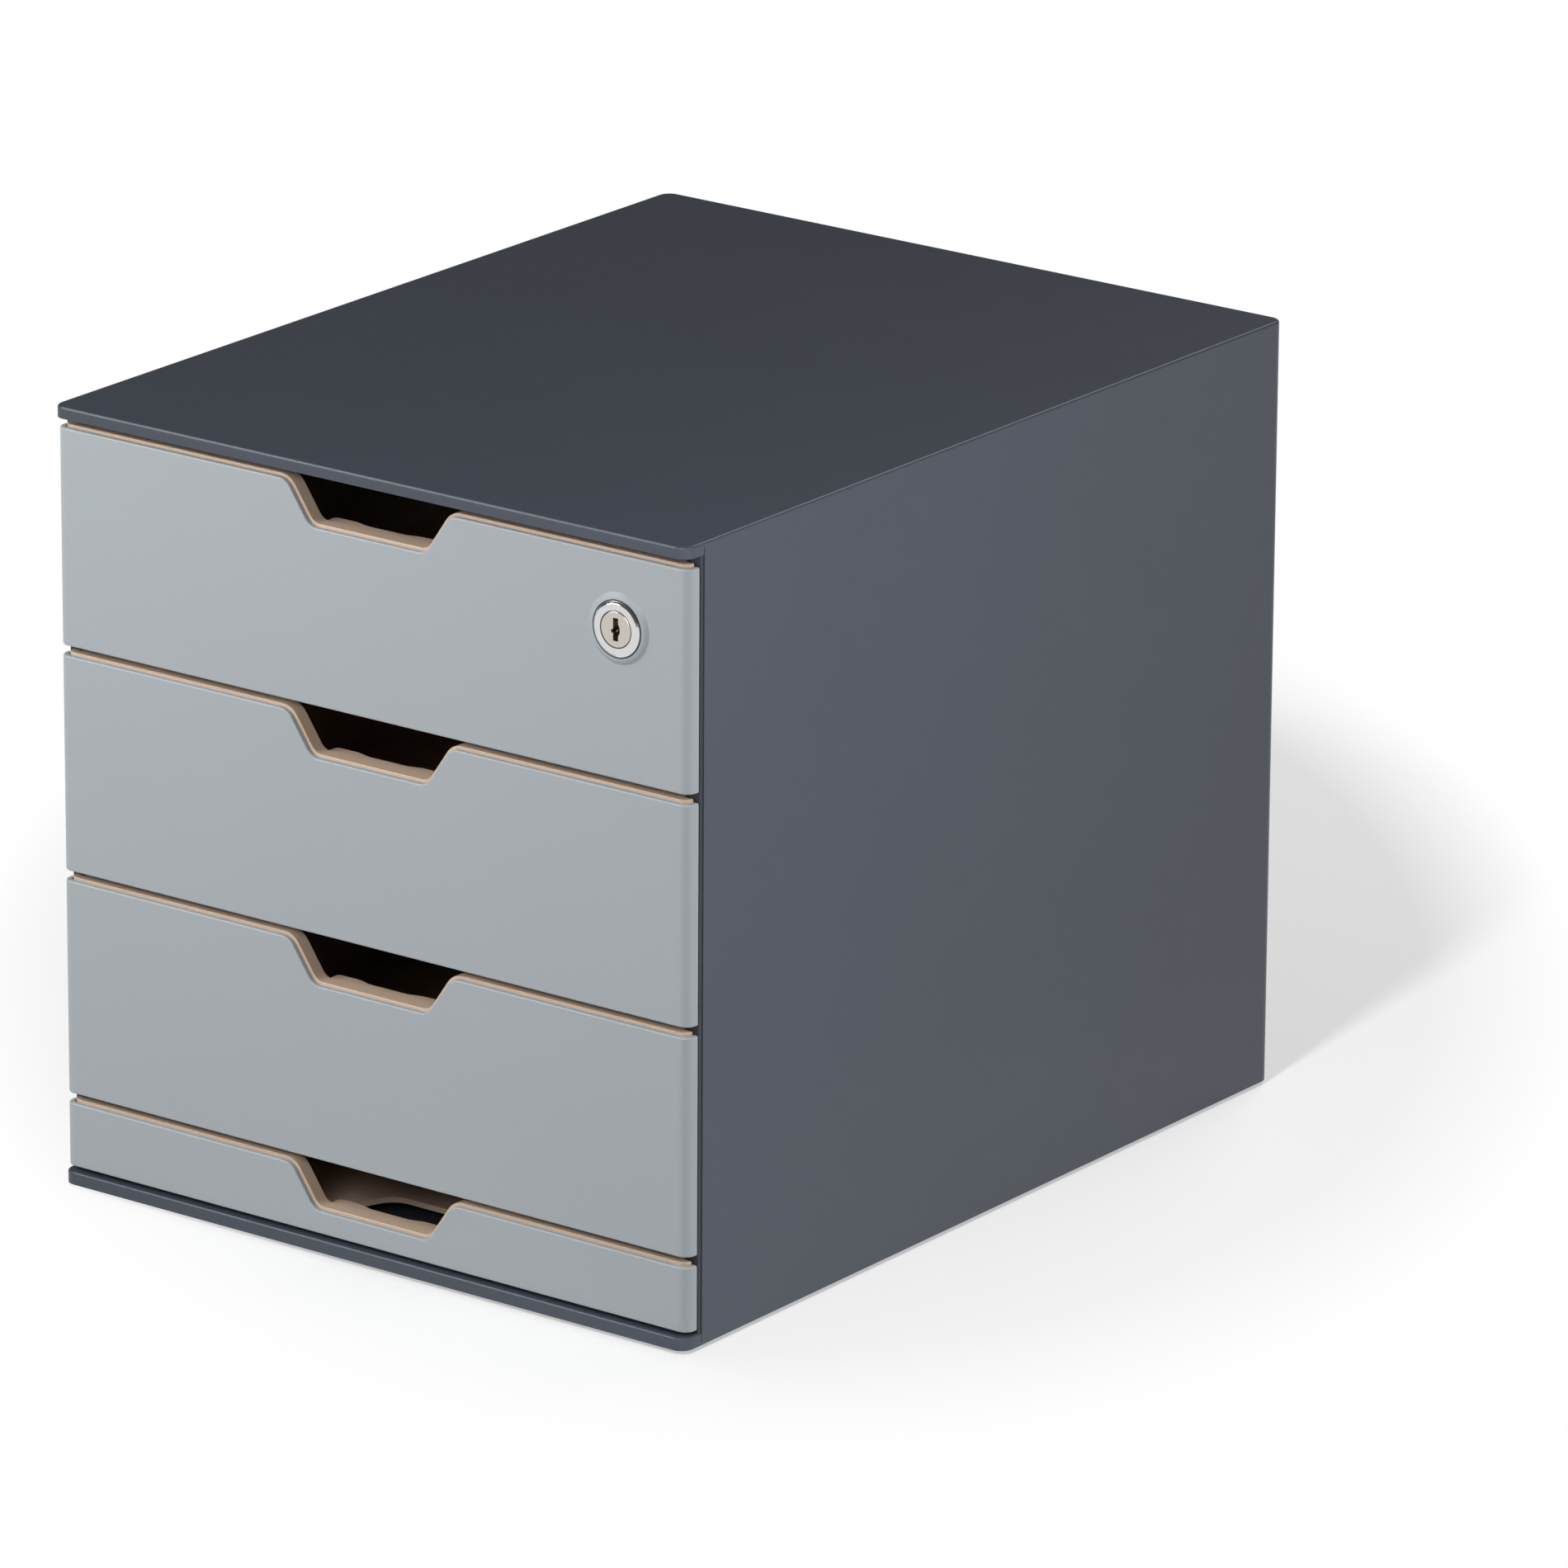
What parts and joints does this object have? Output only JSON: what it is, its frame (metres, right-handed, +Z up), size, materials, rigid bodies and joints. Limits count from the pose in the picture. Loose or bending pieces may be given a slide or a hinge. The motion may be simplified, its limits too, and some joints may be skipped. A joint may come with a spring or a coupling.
{
  "type": "desktop file drawer",
  "caption": "Desktop file drawer: a flat-sided casing with three tall drawers over a low one, finger notches in their fronts and a cam lock in the top drawer.",
  "frame": {"origin": "middle of the footprint, on the surface the feet stand on", "axes": "+Z up, +Y from the drawer fronts to the back, +X to the right seen from the front"},
  "size_m": [0.28, 0.356, 0.292],
  "materials": {
    "anthracite_plastic": "fine satin moulding grain",
    "liner_plastic": "satin",
    "grey_plastic": "fine satin",
    "beige_plastic": "satin",
    "rubber": "matt",
    "zinc_steel": "zinc plated",
    "black_steel": "black oxide",
    "chrome": "polished",
    "nickel": "turned nickel",
    "brass": "stamped"
  },
  "bodies": {
    "casing": {"casing_shell": "anthracite_plastic", "base_plate": "anthracite_plastic", "back_panel": "anthracite_plastic", "runner_panel_left": "liner_plastic", "runner_panel_right": "liner_plastic", "foot_front_left": "rubber", "foot_front_right": "rubber", "foot_rear_left": "rubber", "foot_rear_right": "rubber", "lock_strike": "zinc_steel", "strike_screws": "zinc_steel", "base_screws": "zinc_steel", "back_screws": "black_steel"},
    "drawer_1": {"tray_1": "beige_plastic", "front_panel_1": "grey_plastic", "front_screws_1": "zinc_steel", "lock_housing": "chrome", "lock_washer": "zinc_steel", "lock_nut": "nickel"},
    "drawer_2": {"tray_2": "beige_plastic", "front_panel_2": "grey_plastic", "front_screws_2": "zinc_steel"},
    "drawer_3": {"tray_3": "beige_plastic", "front_panel_3": "grey_plastic", "front_screws_3": "zinc_steel"},
    "drawer_4": {"tray_4": "beige_plastic", "front_panel_4": "grey_plastic", "front_screws_4": "zinc_steel"},
    "lock_plug_set": {"lock_plug": "nickel", "lock_wafers": "brass", "lock_cam": "zinc_steel", "cam_washer": "zinc_steel", "cam_screw": "zinc_steel"}
  },
  "joints": [
    {"name": "drawer_1_slide", "type": "slide", "parent": "casing", "child": "drawer_1", "axis": [0, -1, 0], "range_m": [0, 0.25]},
    {"name": "drawer_2_slide", "type": "slide", "parent": "casing", "child": "drawer_2", "axis": [0, -1, 0], "range_m": [0, 0.25]},
    {"name": "drawer_3_slide", "type": "slide", "parent": "casing", "child": "drawer_3", "axis": [0, -1, 0], "range_m": [0, 0.25]},
    {"name": "drawer_4_slide", "type": "slide", "parent": "casing", "child": "drawer_4", "axis": [0, -1, 0], "range_m": [0, 0.25]},
    {"name": "lock_turn", "type": "hinge", "parent": "drawer_1", "child": "lock_plug_set", "pos_m": [0.1097, -0.17, 0.2576], "axis": [0, 1, 0], "range_deg": [0, 90]}
  ]
}
